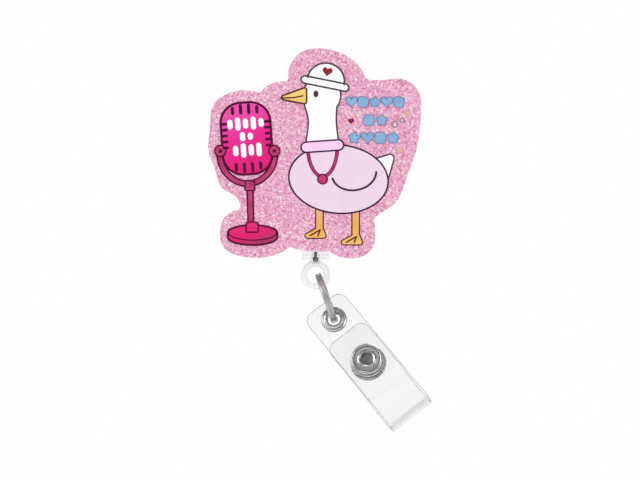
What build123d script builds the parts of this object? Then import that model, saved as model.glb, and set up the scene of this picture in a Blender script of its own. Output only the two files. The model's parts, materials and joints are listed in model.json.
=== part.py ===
# Retractable badge reel: a clear round reel with a die-cut acrylic topper, a snap strap on a
# split ring, and a swivelling bulldog clip at the back.
#
# Units are millimetres. The reel hangs as it is worn: +X to the right seen from the front,
# -Y out of the topper's face, +Z up. It is drawn about the reel's own axis, which runs along Y
# through (0, 0) with the case's front face at Y = 0, and every part is then moved together so
# that the origin lies between the closed jaws of the clip, where the garment holds it.
from build123d import *
import os
from math import asin, cos, pi, radians, sin, sqrt

# ------------------------------------------------------------------ driving dimensions
# Round case
CASE_R = 16.0
CASE_DEPTH = 9.5
CASE_WALL = 1.2
CASE_EDGE_R = 1.4
PARTING_Y = CASE_DEPTH / 2
POST_R = 2.0
POST_END_Y = 2.1

# Neck that the cord leaves by
NECK_W = 6.8
NECK_D = 4.8
NECK_LIP_W = 7.6
NECK_LIP_D = 5.6
NECK_LIP_H = 1.2
NECK_BOTTOM_Z = -19.3
NECK_BORE_R = 0.75
NECK_MOUTH_R = 1.1
NECK_MOUTH_H = 1.3
NECK_LIP_EDGE_R = 0.35

# Spool, its spring and the cord
SPOOL_R = 13.8
SPOOL_BORE_R = 2.4
DRUM_R = 10.0
DRUM_WALL = 0.8
GROOVE_W = 3.3
FLANGE_T = 0.8
SPOOL_CAP_T = 0.6
SPOOL_HOLE_R = 1.5
SPOOL_HOLES = 6
SPRING_STRIP_T = 0.3
SPRING_STRIP_W = 2.8
SPRING_TURNS = 8
SPRING_GAP = 0.3
CORD_R = 0.4
CORD_LENGTH = 600.0
CORD_PACKING = 0.7
KNOT_R = 0.68
KNOT_H = 1.9
KNOT_TOP_Z = -18.4

# Topper and what is printed on it
TOPPER_T = 3.0
PAD_T = 0.8
PAD_R = 13.0
PRINT_T = 0.2
INSIDE_CORNER_R = 0.8
HEAD_R = 5.0
LEG_W = 1.7
LEG_TOP_Z = -5.0
YOKE_R = 7.4

# End ring on the cord
END_RING_Z = -23.6
END_RING_R = 4.0
END_RING_HOLE_R = 2.3
END_BOSS_TOP_R = 1.5
END_BOSS_FOOT_R = 2.3
END_BOSS_H = 1.4
END_BOSS_D = 2.8
END_BOSS_BORE_R = 1.0
END_BOSS_BORE_H = 1.0

# Split ring
RING_R = 7.15
RING_STRIP_W = 1.3
RING_COIL_T = 0.92
RING_SLIT = 0.06
RING_STEP_ANGLE = 14.0
RING_TILT = 19.2
RING_TOP = (0.68, -23.2)

# Strap: distances run down the strap from its top edge
STRAP_W = 13.2
STRAP_T = 0.6
STRAP_TILT = 39.8
STRAP_LEAD = 20.0
STRAP_CORNER_R = 2.8
EYELET_S = 5.5
SNAP_S = 20.2
FLAP_END_S = 9.6
FOLD_S = 39.8
FLAP_GAP = 3.1
FOLD_GAP = 5.5
FOLD_JOIN_S = 32.7
FOLD_CLEARANCE = 0.6
REAR_BEND_R = 4.0

# Eyelet and snap
EYELET_R = 3.5
EYELET_HOLE_R = 1.75
EYELET_TUBE_R = 2.1
EYELET_FLANGE_T = 0.55
EYELET_WASHER_T = 0.4
EYELET_ROLL_R = 2.6
EYELET_ROLL_T = 0.3
SNAP_POST_R = 4.35
SNAP_FLANGE_T = 0.6
SNAP_RING_H = 0.5
SNAP_FLOOR_T = 0.25
SNAP_EDGE_R = 0.4
SNAP_RING_R = 2.6
SNAP_RECESS_R = 1.75
SNAP_SOCKET_R = 4.6
SNAP_SOCKET_T = 1.4
SNAP_STUD_R = 4.2
SNAP_STUD_T = 0.6
SNAP_KNOB_R = 1.6
SNAP_KNOB_H = 1.2
SNAP_FIT = 0.3
SNAP_CAP_R = 4.95
SNAP_CAP_T = 0.9

# Clip
CLIP_PLATE_T = 0.8
CLIP_BASE_W = 11.0
CLIP_LEVER_W = 9.0
CLIP_PLATE_Y = 10.0
CLIP_TOP_Z = 13.0
CLIP_TIP_Z = -15.0
CLIP_GRIP_Y = 13.0
CLIP_GRIP_GAP = 0.4
CLIP_PIN_Y = 14.0
CLIP_PIN_Z = 6.0
CLIP_PIN_R = 1.0
CLIP_TEETH = 4
CLIP_EAR_T = 0.8
CLIP_EAR_CORNER_R = 1.4
CLIP_BEND_R = 0.7
CLIP_TOOTH_H = 1.1
CLIP_LEVER_Y = 16.2
CLIP_THUMB_Y = 19.2
CLIP_THUMB_Z = 18.0
CLIP_COIL_R = 1.6
CLIP_COIL_L = 5.0
CLIP_WIRE_R = 0.27
RIVET_R = 1.0
RIVET_HEAD_R = 2.2
RIVET_FIT = 0.05
RIVET_HEAD_T = 0.9
RIVET_FLARE = 0.6
RIVET_FLARE_T = 0.5
RIVET_WASHER_T = 0.25
SWIVEL_WASHER_R = 3.6
SWIVEL_WASHER_T = 0.4

# ------------------------------------------------------------------ worked out from them
TOPPER_BACK_Y = -PAD_T
TOPPER_FACE_Y = TOPPER_BACK_Y - TOPPER_T
GROOVE_Y = PARTING_Y - GROOVE_W / 2
SPOOL_FRONT_Y = GROOVE_Y - FLANGE_T
SPOOL_REAR_Y = GROOVE_Y + GROOVE_W + FLANGE_T
CORD_SECTION = pi * CORD_R**2
COIL_R = sqrt(DRUM_R**2 + CORD_SECTION * CORD_LENGTH / CORD_PACKING / (pi * GROOVE_W))
END_RING_TUBE_R = (END_RING_R - END_RING_HOLE_R) / 2
END_RING_MEAN_R = END_RING_R - END_RING_TUBE_R
END_RING_TOP_Z = END_RING_Z + END_RING_R
RING_MEAN_R = RING_R - RING_STRIP_W / 2
GRIP_POINT = (0, CLIP_GRIP_Y, CLIP_TIP_Z + 0.6)

# Split ring: its plane holds the Y axis and leans RING_TILT from the vertical
RING_DOWN = Vector(sin(radians(RING_TILT)), 0, -cos(radians(RING_TILT)))
RING_AXIS = Vector(0, -1, 0).cross(RING_DOWN)
RING_CENTRE = Vector(RING_TOP[0], PARTING_Y, RING_TOP[1]) + RING_DOWN * RING_R

# Strap frame: origin in the eyelet, x across the strap, y up it, z out of its front leg.
# The eyelet's axis is the ring's tangent STRAP_LEAD forward of the ring's lowest point.
LEAD = radians(STRAP_LEAD)
EYELET_CENTRE = RING_CENTRE + RING_DOWN * RING_MEAN_R * cos(LEAD) - Vector(0, RING_MEAN_R * sin(LEAD), 0)
STRAP_NORMAL = RING_DOWN * -sin(LEAD) - Vector(0, cos(LEAD), 0)
TILT = radians(STRAP_TILT)
STRAP_DOWN = Vector(
    sin(TILT),
    (cos(TILT) * STRAP_NORMAL.Z - sin(TILT) * STRAP_NORMAL.X) / STRAP_NORMAL.Y,
    -cos(TILT),
).normalized()
STRAP = Plane(EYELET_CENTRE, x_dir=(STRAP_DOWN * -1).cross(STRAP_NORMAL), z_dir=STRAP_NORMAL)
FOLD_R = FOLD_GAP / 2
FOLD_CENTRE_S = FOLD_S - FOLD_R - STRAP_T / 2
HOME = Pos(-GRIP_POINT[0], -GRIP_POINT[1], -GRIP_POINT[2])


# ------------------------------------------------------------------ helpers
def disc(radius, y_front, y_back, x=0, z=0):
    """Cylinder along Y."""
    return Pos(x, (y_front + y_back) / 2, z) * Rot(X=90) * Cylinder(radius, y_back - y_front)


def ring(radius, bore, y_front, y_back):
    return disc(radius, y_front, y_back) - disc(bore, y_front, y_back)


def block(x, y, z):
    """Box from three (low, high) pairs."""
    size = [high - low for low, high in (x, y, z)]
    middle = [(high + low) / 2 for low, high in (x, y, z)]
    return Pos(*middle) * Box(*size)


def upright(radius, z_low, z_high):
    """Cylinder along the cord's line, straight down the middle of the neck."""
    return Pos(0, PARTING_Y, (z_low + z_high) / 2) * Cylinder(radius, z_high - z_low)


def outline(*points):
    """Smooth closed face through a few points of the front view."""
    return make_face(Spline(*points, periodic=True))


def shape(*points, corner=0.0):
    """Straight-sided closed face of the front view, its corners rounded."""
    face = make_face(Polyline(*points, close=True))
    return fillet(face.vertices(), corner) if corner else face


def block_face(x_low, z_low, x_high, z_high):
    """Upright rectangle of the front view."""
    return Pos((x_low + x_high) / 2, (z_low + z_high) / 2) * Rectangle(x_high - x_low, abs(z_high - z_low))


def printed(face, thickness=PRINT_T, back_y=TOPPER_FACE_Y):
    """Front-view face made into a layer whose back lies at back_y."""
    return extrude(Plane.XZ.offset(-back_y) * face, amount=thickness)


def band(path, width, thickness):
    """Flat strip, as wide as X says, swept along a path in the YZ plane."""
    section = Plane(path @ 0, x_dir=(1, 0, 0), z_dir=path % 0) * Rectangle(width, thickness)
    return sweep(section, path)


def strap_disc(radius, z_back, z_front, s):
    """Cylinder square to the strap, with its middle s from the strap's top edge."""
    return Pos(0, EYELET_S - s, (z_back + z_front) / 2) * Cylinder(radius, z_front - z_back)


# ------------------------------------------------------------------ case and topper
def half_case():
    """Front half of the case, with its half of the neck."""
    half = disc(CASE_R, 0, PARTING_Y)
    half = fillet(half.edges().sort_by(Axis.Y)[0], CASE_EDGE_R)
    neck_front = PARTING_Y - NECK_D / 2
    half += block((-NECK_W / 2, NECK_W / 2), (neck_front, PARTING_Y), (NECK_BOTTOM_Z, -CASE_R + 2))
    lip = block(
        (-NECK_LIP_W / 2, NECK_LIP_W / 2),
        (PARTING_Y - NECK_LIP_D / 2, PARTING_Y),
        (NECK_BOTTOM_Z, NECK_BOTTOM_Z + NECK_LIP_H),
    )
    half += fillet(lip.edges().filter_by(Axis.X).group_by(Axis.Y)[0], NECK_LIP_EDGE_R)
    half -= disc(CASE_R - CASE_WALL, CASE_WALL, PARTING_Y)
    half -= upright(NECK_BORE_R, NECK_BOTTOM_Z, -CASE_R + 3)
    return half - upright(NECK_MOUTH_R, NECK_BOTTOM_Z, NECK_BOTTOM_Z + NECK_MOUTH_H)


def front_cover():
    return half_case()


def rear_cover():
    cover = mirror(half_case(), about=Plane.XZ.offset(-PARTING_Y))
    cover += disc(POST_R, POST_END_Y, CASE_DEPTH - CASE_WALL)
    return cover - disc(RIVET_R + RIVET_FIT, POST_END_Y, CASE_DEPTH)


def topper_plate():
    """Die-cut plate: seven bulges, each a smooth curve between two inside corners."""
    bulges = (
        ((-7.1, 28.7), (-7.2, 32.2), (-4.2, 36.5), (0.5, 37.7), (7.4, 36.2), (12.0, 32.6), (13.4, 29.7)),
        ((13.4, 29.7), (18.5, 29.2), (24.2, 29.2), (27.4, 26.8), (28.4, 19.0), (27.3, 10.5), (24.2, 1.6),
         (21.6, -4.0), (17.6, -6.8), (15.7, -8.5)),
        ((15.7, -8.5), (16.2, -12.6), (14.6, -17.2), (9.9, -19.0), (3.8, -17.0)),
        ((3.8, -17.0), (-1.6, -17.1), (-6.9, -15.9)),
        ((-6.9, -15.9), (-12.0, -18.4), (-18.5, -18.7), (-24.6, -16.2), (-25.6, -10.2), (-20.3, -5.8)),
        ((-20.3, -5.8), (-21.3, -2.6), (-25.6, 0.5), (-27.0, 4.6), (-28.8, 9.6), (-28.5, 16.5),
         (-27.6, 22.4), (-22.8, 25.8), (-15.0, 25.6)),
        ((-15.0, 25.6), (-12.6, 27.8), (-7.1, 28.7)),
    )
    face = make_face([Spline(*bulge) for bulge in bulges])
    face = fillet(face.vertices(), INSIDE_CORNER_R)
    return printed(face, TOPPER_T, TOPPER_BACK_Y)


def bird_print():
    """Silhouette of a plain water bird in a round cap, made of ellipses and a few rounded shapes."""
    body = Pos(6.2, 2.4) * Rot(Z=-5) * Ellipse(13.2, 9.0)
    neck = shape((-3.2, 8.0), (6.8, 8.0), (5.4, 25.0), (-2.2, 25.0), corner=0.3)
    head = Pos(1.6, 25.0) * Circle(HEAD_R)
    cap = Pos(2.6, 29.6) * Rot(Z=-12) * Ellipse(5.4, 4.2)
    bill = shape((-2.0, 27.6), (-11.0, 24.2), (-2.0, 22.4), corner=0.5)
    tail = shape((14.0, 7.0), (21.4, 9.4), (19.0, 0.6), corner=0.8)
    legs = [
        block_face(x, LEG_TOP_Z, x + LEG_W, foot_z) + shape((x - 5.0, foot_z), (x + 2.2, foot_z + 2.6),
                                                             (x + 2.2, foot_z), corner=0.3)
        for x, foot_z in ((0.2, -13.4), (10.0, -15.2))
    ]
    return printed(body + neck + head + cap + bill + tail + legs[0] + legs[1])


def microphone_print():
    """Silhouette of a plain stage microphone in a yoke on a round foot."""
    head = Pos(-18.6, 13.4) * Rot(Z=4) * RectangleRounded(13.4, 19.4, 5.4)
    yoke = Pos(-18.4, 8.8) * (Circle(YOKE_R) & Pos(0, -YOKE_R) * Rectangle(2 * YOKE_R, 2 * YOKE_R + 4))
    collar = Pos(-17.7, 0.6) * RectangleRounded(3.0, 2.8, 0.6)
    stem = block_face(-18.4, -10.0, -16.8, 0)
    foot = Pos(-17.1, -10.2) * RectangleRounded(3.4, 3.0, 0.5)
    base = Pos(-17.0, -12.4) * Ellipse(6.8, 2.2) + Pos(-17.0, -13.3) * Ellipse(6.8, 2.2)
    return printed(head + yoke + collar + stem + foot + base)


def heart(size):
    half = size / 4
    lobes = Pos(-half, half) * Circle(half * 1.25) + Pos(half, half) * Circle(half * 1.25)
    return lobes + shape((-2.1 * half, 0.6 * half), (0, 1.6 * half), (2.1 * half, 0.6 * half), (0, -2 * half))


def accent_prints():
    """Rows of hearts and dots, one solid each, where the topper's other prints are."""
    rows = ((23.2, (9.6, 12.5, 15.4, 18.3, 21.2)), (18.4, (14.4, 17.6)), (13.2, (10.4, 13.6, 16.8, 20.0)))
    layer = []
    for z, places in rows:
        for count, x in enumerate(places):
            layer.append(Pos(x, z) * (heart(2.9) if count % 2 else Circle(1.25)))
    return Compound(children=[printed(face) for face in layer])


def adhesive_pad():
    return disc(PAD_R, TOPPER_BACK_Y, 0)


# ------------------------------------------------------------------ inside the case
def spool():
    wheel = ring(SPOOL_R, SPOOL_BORE_R, SPOOL_FRONT_Y, GROOVE_Y)
    wheel += ring(DRUM_R, DRUM_R - DRUM_WALL, GROOVE_Y, GROOVE_Y + GROOVE_W)
    wheel += ring(SPOOL_R, DRUM_R - DRUM_WALL, SPOOL_REAR_Y - FLANGE_T, SPOOL_REAR_Y)
    for count in range(SPOOL_HOLES):
        turn = radians(360 * count / SPOOL_HOLES)
        middle = (SPOOL_BORE_R + DRUM_R - DRUM_WALL) / 2
        wheel -= disc(SPOOL_HOLE_R, SPOOL_FRONT_Y, GROOVE_Y, middle * cos(turn), middle * sin(turn))
    return wheel


def spool_cap():
    return ring(DRUM_R, SPOOL_BORE_R, SPOOL_REAR_Y, SPOOL_REAR_Y + SPOOL_CAP_T)


def cord_wound():
    """Outer shape of the cord's turns on the drum."""
    return ring(COIL_R, DRUM_R, GROOVE_Y, GROOVE_Y + GROOVE_W)


def power_spring():
    """Flat strip wound in half turns about two centres, from the post out to the drum."""
    outer_r = DRUM_R - DRUM_WALL - SPRING_GAP
    pitch = (outer_r - POST_R - SPRING_STRIP_T) / SPRING_TURNS
    sides = []
    for offset in (0, SPRING_STRIP_T):
        for half_turn in range(2 * SPRING_TURNS):
            middle = pitch / 4 if half_turn % 2 else -pitch / 4
            radius = POST_R + pitch / 4 + half_turn * pitch / 2 + offset
            sides.append(CenterArc((middle, 0), radius, 180 * (half_turn % 2), 180))
    last = 2 * SPRING_TURNS - 1
    ends = [Line(sides[0] @ 0, sides[last + 1] @ 0), Line(sides[last] @ 1, sides[2 * last + 1] @ 1)]
    return printed(make_face(sides + ends), SPRING_STRIP_W, PARTING_Y + SPRING_STRIP_W / 2)


def cord_inner_run():
    """Stretch of cord from the winding to the top of the neck."""
    start_r = COIL_R + 2 * CORD_R
    top_z = -CASE_R + CASE_WALL + 0.3
    turn = asin(sqrt(top_z**2 - start_r**2) / -top_z)
    start = Vector(start_r * sin(turn), PARTING_Y, -start_r * cos(turn))
    end = Vector(CORD_R, PARTING_Y, top_z)
    run = end - start
    return Solid.make_cylinder(CORD_R, run.length, Plane(start, z_dir=run))


def cord_lead():
    """Cord in the neck, from the case's wall to the knot."""
    return upright(CORD_R, KNOT_TOP_Z, -CASE_R + CASE_WALL)


def cord_knot():
    knot = upright(KNOT_R, KNOT_TOP_Z - KNOT_H, KNOT_TOP_Z)
    return fillet(knot.edges(), KNOT_R * 0.6)


# ------------------------------------------------------------------ end ring and split ring
def end_ring():
    """Round-sectioned ring with a flattened boss on top, bored for the knot."""
    donut = Pos(0, PARTING_Y, END_RING_Z) * Rot(X=90) * Torus(END_RING_MEAN_R, END_RING_TUBE_R)
    foot_z = END_RING_TOP_Z - END_BOSS_H
    boss = Pos(0, PARTING_Y, foot_z + END_BOSS_H / 2) * Cone(END_BOSS_FOOT_R, END_BOSS_TOP_R, END_BOSS_H)
    half_depth = END_BOSS_D / 2
    boss &= block((-END_RING_R, END_RING_R), (PARTING_Y - half_depth, PARTING_Y + half_depth), (foot_z, END_RING_TOP_Z))
    boss -= disc(END_RING_R, 0, CASE_DEPTH, 0, END_RING_Z) & block(
        (-END_RING_R, END_RING_R), (0, CASE_DEPTH), (END_RING_Z - END_RING_R, END_RING_Z + END_RING_HOLE_R)
    )
    return donut + boss - upright(END_BOSS_BORE_R, END_RING_TOP_Z - END_BOSS_BORE_H, END_RING_TOP_Z)


def split_ring():
    """Two flat coils side by side, joined where the strip steps across."""
    plane = Plane(RING_CENTRE, x_dir=RING_DOWN, z_dir=RING_AXIS)
    coil_low = RING_SLIT / 2
    coil_high = coil_low + RING_COIL_T

    def coil(low, high, start, sweep):
        section = Plane.XZ * Pos(RING_MEAN_R, (low + high) / 2) * Rectangle(RING_STRIP_W, high - low)
        return Rot(Z=start) * revolve(section, Axis.Z, sweep)

    whole = coil(-coil_high, -coil_low, 90, 360 - RING_STEP_ANGLE)
    whole += coil(coil_low, coil_high, 90, 360 - RING_STEP_ANGLE)
    whole += coil(-coil_high, coil_high, 90 - RING_STEP_ANGLE / 2, RING_STEP_ANGLE)
    return plane.location * whole


# ------------------------------------------------------------------ strap, drawn in its own frame
def strap_front_leg():
    """Front leg with the eyelet's and the snap's holes."""
    top = EYELET_S
    bottom = EYELET_S - FOLD_CENTRE_S
    leg = block((-STRAP_W / 2, STRAP_W / 2), (bottom, top), (-STRAP_T / 2, STRAP_T / 2))
    leg = fillet(leg.edges().filter_by(Axis.Z).group_by(Axis.Y)[-1], STRAP_CORNER_R)
    leg -= strap_disc(EYELET_TUBE_R, -STRAP_T, STRAP_T, EYELET_S)
    return leg - strap_disc(SNAP_RECESS_R, -STRAP_T, STRAP_T, SNAP_S)


def strap_fold():
    """Rounded turn at the foot of the strap."""
    y_turn = EYELET_S - FOLD_CENTRE_S
    turn = ThreePointArc((0, y_turn, 0), (0, y_turn - FOLD_R, -FOLD_R), (0, y_turn, -FOLD_GAP))
    back = Line((0, y_turn, -FOLD_GAP), (0, EYELET_S - FOLD_JOIN_S - FOLD_CLEARANCE, -FOLD_GAP))
    return band(Wire([turn, back]), STRAP_W, STRAP_T)


def strap_rear_leg():
    """Rear leg, closing in to the snap and ending in the free flap."""
    path = FilletPolyline(
        (0, EYELET_S - FOLD_JOIN_S, -FOLD_GAP),
        (0, EYELET_S - FOLD_JOIN_S + REAR_BEND_R / 2, -FOLD_GAP),
        (0, EYELET_S - SNAP_S - SNAP_CAP_R - 0.8, -FLAP_GAP),
        (0, EYELET_S - FLAP_END_S, -FLAP_GAP),
        radius=REAR_BEND_R,
    )
    leg = band(path, STRAP_W, STRAP_T)
    leg = fillet(leg.edges().filter_by(Axis.Z).group_by(Axis.Y)[-1], STRAP_CORNER_R)
    return leg - strap_disc(SNAP_KNOB_R, -FLAP_GAP - STRAP_T, -FLAP_GAP + STRAP_T, SNAP_S)


def eyelet_barrel():
    """Front flange and tube, rolled over at the back."""
    front = STRAP_T / 2
    barrel = strap_disc(EYELET_R, front, front + EYELET_FLANGE_T, EYELET_S)
    barrel = fillet(barrel.edges().group_by(Axis.Z)[-1], EYELET_FLANGE_T * 0.7)
    roll = -front - EYELET_WASHER_T
    barrel += strap_disc(EYELET_TUBE_R, roll, front, EYELET_S)
    barrel += strap_disc(EYELET_ROLL_R, roll - EYELET_ROLL_T, roll, EYELET_S)
    return barrel - strap_disc(EYELET_HOLE_R, roll - EYELET_ROLL_T, front + EYELET_FLANGE_T, EYELET_S)


def eyelet_washer():
    back = -STRAP_T / 2
    washer = strap_disc(EYELET_R, back - EYELET_WASHER_T, back, EYELET_S)
    return washer - strap_disc(EYELET_TUBE_R, back - EYELET_WASHER_T, back, EYELET_S)


def snap_post():
    """Front flange with a raised ring about a recess, and the shank through the vinyl."""
    front = STRAP_T / 2
    face = front + SNAP_FLANGE_T
    flange = strap_disc(SNAP_POST_R, front, face, SNAP_S)
    flange = fillet(flange.edges().group_by(Axis.Z)[-1], SNAP_EDGE_R)
    post = flange + strap_disc(SNAP_RING_R, face, face + SNAP_RING_H, SNAP_S)
    post -= strap_disc(SNAP_RECESS_R, front + SNAP_FLOOR_T, face + SNAP_RING_H, SNAP_S)
    return post + strap_disc(SNAP_RECESS_R, -front, front, SNAP_S)


def snap_socket():
    back = -STRAP_T / 2
    socket = strap_disc(SNAP_SOCKET_R, back - SNAP_SOCKET_T, back, SNAP_S)
    socket = fillet(socket.edges().group_by(Axis.Z)[0], SNAP_EDGE_R)
    return socket - strap_disc(SNAP_KNOB_R + SNAP_FIT, back - SNAP_SOCKET_T, back, SNAP_S)


def snap_stud():
    face = -FLAP_GAP + STRAP_T / 2
    stud = strap_disc(SNAP_STUD_R, face, face + SNAP_STUD_T, SNAP_S)
    knob = strap_disc(SNAP_KNOB_R, face + SNAP_STUD_T, face + SNAP_STUD_T + SNAP_KNOB_H, SNAP_S)
    return stud + fillet(knob.edges().group_by(Axis.Z)[-1], 0.5)


def snap_cap():
    """Rear cap with its shank through the flap."""
    face = -FLAP_GAP - STRAP_T / 2
    cap = strap_disc(SNAP_CAP_R, face - SNAP_CAP_T, face, SNAP_S)
    cap = fillet(cap.edges().group_by(Axis.Z)[0], SNAP_CAP_T * 0.7)
    return cap + strap_disc(SNAP_KNOB_R, face, face + STRAP_T, SNAP_S)


# ------------------------------------------------------------------ clip
def ear(x, y_far, z_low, z_high, pin_bore=CLIP_PIN_R):
    """Upright plate of a hinge, with the pin's hole."""
    plate = block((x - CLIP_EAR_T / 2, x + CLIP_EAR_T / 2), (CLIP_PLATE_Y, y_far), (z_low, z_high))
    plate = fillet(plate.edges().filter_by(Axis.X).group_by(Axis.Y)[-1], CLIP_EAR_CORNER_R)
    return plate - Pos(x, CLIP_PIN_Y, CLIP_PIN_Z) * Rot(Y=90) * Cylinder(pin_bore, 2 * CLIP_EAR_T)


def toothed(jaw, width, y_low, y_high):
    """Jaw with notches cut across its tip, which leave its teeth."""
    pitch = width / CLIP_TEETH
    for count in range(CLIP_TEETH - 1):
        x = (count + 1) * pitch - width / 2
        jaw -= block((x - pitch / 5, x + pitch / 5), (y_low, y_high), (CLIP_TIP_Z - 1, CLIP_TIP_Z + CLIP_TOOTH_H))
    return jaw


def clip_base_jaw():
    """Fixed jaw: flat plate on the rivet, two ears for the pin, and a tip bent out to the grip."""
    y = CLIP_PLATE_Y + CLIP_PLATE_T / 2
    tip_y = CLIP_GRIP_Y - CLIP_GRIP_GAP / 2
    path = FilletPolyline(
        (0, y, CLIP_TOP_Z),
        (0, y, CLIP_TIP_Z + 4.2),
        (0, tip_y - 1.6, CLIP_TIP_Z + CLIP_PLATE_T / 2),
        (0, tip_y, CLIP_TIP_Z + CLIP_PLATE_T / 2),
        radius=CLIP_BEND_R,
    )
    jaw = band(path, CLIP_BASE_W, CLIP_PLATE_T)
    jaw = toothed(jaw, CLIP_BASE_W, tip_y - 1.2, tip_y + 1)
    for side in (-1, 1):
        jaw += ear(side * (CLIP_BASE_W - CLIP_EAR_T) / 2, CLIP_PIN_Y + 2, CLIP_PIN_Z - 3, CLIP_PIN_Z + 3)
    return jaw - disc(RIVET_R, CLIP_PLATE_Y, CLIP_PLATE_Y + CLIP_PLATE_T)


def clip_lever_jaw():
    """Sprung jaw: from the grip back over the pin to the thumb tab."""
    tip_y = CLIP_GRIP_Y + CLIP_GRIP_GAP / 2
    path = FilletPolyline(
        (0, tip_y, CLIP_TIP_Z + CLIP_PLATE_T / 2),
        (0, tip_y + 1.3, CLIP_TIP_Z + CLIP_PLATE_T / 2),
        (0, CLIP_LEVER_Y, CLIP_TIP_Z + 6),
        (0, CLIP_LEVER_Y, CLIP_PIN_Z + 2.5),
        (0, CLIP_THUMB_Y, CLIP_THUMB_Z),
        radius=CLIP_BEND_R,
    )
    jaw = band(path, CLIP_LEVER_W, CLIP_PLATE_T)
    jaw = toothed(jaw, CLIP_LEVER_W, tip_y - 1, tip_y + 1.2)
    for side in (-1, 1):
        x = side * (CLIP_LEVER_W - CLIP_EAR_T) / 2
        flange = ear(x, CLIP_LEVER_Y, CLIP_PIN_Z - 2, CLIP_PIN_Z + 2, CLIP_PIN_R + RIVET_FIT)
        jaw += flange - block((x - 1, x + 1), (0, CLIP_PIN_Y - 1.8), (0, CLIP_THUMB_Z))
    return jaw


def clip_hinge_pin():
    pin = Pos(0, CLIP_PIN_Y, CLIP_PIN_Z) * Rot(Y=90) * Cylinder(CLIP_PIN_R, CLIP_BASE_W + 1.2)
    return fillet(pin.edges(), 0.3)


def clip_spring():
    """Coil about the pin, with one arm on the base jaw."""
    coil = Cylinder(CLIP_COIL_R, CLIP_COIL_L) - Cylinder(CLIP_COIL_R - CLIP_WIRE_R * 2, CLIP_COIL_L)
    coil = Pos(0, CLIP_PIN_Y, CLIP_PIN_Z) * Rot(Y=90) * coil
    arm_y = CLIP_PIN_Y - CLIP_COIL_R + CLIP_WIRE_R
    arm = Pos(CLIP_COIL_L / 2 - CLIP_WIRE_R, arm_y, CLIP_PIN_Z + 3) * Cylinder(CLIP_WIRE_R, 6)
    return coil + arm


def clip_rivet():
    """Swivel rivet: head behind the base jaw, shank through the case's post, closed inside."""
    back_y = CLIP_PLATE_Y + CLIP_PLATE_T
    head = disc(RIVET_HEAD_R, back_y, back_y + RIVET_HEAD_T)
    head = fillet(head.edges().sort_by(Axis.Y)[-1], RIVET_HEAD_T * 2 / 3)
    washer_front = POST_END_Y - 2 * RIVET_FIT - RIVET_WASHER_T
    flare = disc(RIVET_R + RIVET_FLARE, washer_front - RIVET_FLARE_T, washer_front)
    return head + disc(RIVET_R, washer_front, back_y) + flare


def rivet_washer():
    back_y = POST_END_Y - 2 * RIVET_FIT
    return ring(POST_R, RIVET_R, back_y - RIVET_WASHER_T, back_y)


def swivel_washer():
    return ring(SWIVEL_WASHER_R, RIVET_R, CLIP_PLATE_Y - SWIVEL_WASHER_T, CLIP_PLATE_Y)


# ------------------------------------------------------------------ assembly
REEL_PARTS = (
    front_cover, rear_cover, adhesive_pad, topper_plate, bird_print, microphone_print, accent_prints,
    spool, spool_cap, cord_wound, power_spring, cord_inner_run, cord_lead, cord_knot,
    end_ring, split_ring,
    clip_base_jaw, clip_lever_jaw, clip_hinge_pin, clip_spring, clip_rivet, rivet_washer, swivel_washer,
)
STRAP_PARTS = (
    strap_front_leg, strap_fold, strap_rear_leg, eyelet_barrel, eyelet_washer,
    snap_post, snap_socket, snap_stud, snap_cap,
)

os.makedirs("parts", exist_ok=True)
for make in REEL_PARTS:
    export_step(HOME * make(), f"parts/{make.__name__}.step")
for make in STRAP_PARTS:
    export_step(HOME * STRAP.location * make(), f"parts/{make.__name__}.step")
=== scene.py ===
# Retractable badge reel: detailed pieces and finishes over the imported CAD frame.
# Metres in the row frame. The drawing's own sizes are in millimetres and pass through mm().
import json
import math
import bmesh
import bpy
from mathutils import Matrix, Vector


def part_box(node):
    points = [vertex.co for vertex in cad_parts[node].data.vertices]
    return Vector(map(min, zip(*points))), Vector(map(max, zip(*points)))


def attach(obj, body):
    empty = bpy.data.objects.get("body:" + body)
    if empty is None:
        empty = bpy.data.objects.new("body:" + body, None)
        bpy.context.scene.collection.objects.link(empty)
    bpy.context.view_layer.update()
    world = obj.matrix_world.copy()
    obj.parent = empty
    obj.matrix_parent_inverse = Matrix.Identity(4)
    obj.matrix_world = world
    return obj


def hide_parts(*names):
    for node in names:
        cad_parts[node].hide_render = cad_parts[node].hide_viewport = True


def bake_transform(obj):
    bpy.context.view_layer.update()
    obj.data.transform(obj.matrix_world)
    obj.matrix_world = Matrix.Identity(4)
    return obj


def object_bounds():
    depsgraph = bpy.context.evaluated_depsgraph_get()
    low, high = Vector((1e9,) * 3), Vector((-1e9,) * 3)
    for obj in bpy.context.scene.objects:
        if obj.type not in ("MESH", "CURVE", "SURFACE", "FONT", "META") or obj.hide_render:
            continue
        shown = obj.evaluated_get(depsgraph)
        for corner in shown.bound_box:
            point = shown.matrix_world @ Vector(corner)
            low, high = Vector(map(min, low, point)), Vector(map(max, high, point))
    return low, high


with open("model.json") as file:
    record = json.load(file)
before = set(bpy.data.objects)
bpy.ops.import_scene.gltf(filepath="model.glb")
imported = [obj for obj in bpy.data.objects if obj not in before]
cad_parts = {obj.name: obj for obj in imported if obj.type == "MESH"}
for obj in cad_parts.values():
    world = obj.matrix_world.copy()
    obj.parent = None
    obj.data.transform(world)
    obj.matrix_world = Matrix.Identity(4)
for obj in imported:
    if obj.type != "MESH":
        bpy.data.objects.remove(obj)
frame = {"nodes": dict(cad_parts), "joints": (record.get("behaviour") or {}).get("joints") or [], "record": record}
CAD_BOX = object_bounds()
JOINTS = {joint["name"]: joint for joint in frame["joints"]}
SLOTS = {part["node"]: part["material_slot"] for part in frame["record"]["subparts"]}


def mm(*values):
    """Millimetres to metres: one number, or a vector of three."""
    return values[0] / 1000 if len(values) == 1 else Vector(values) / 1000


def pivot(joint):
    return Vector(JOINTS[joint]["pos_m"])


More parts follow.
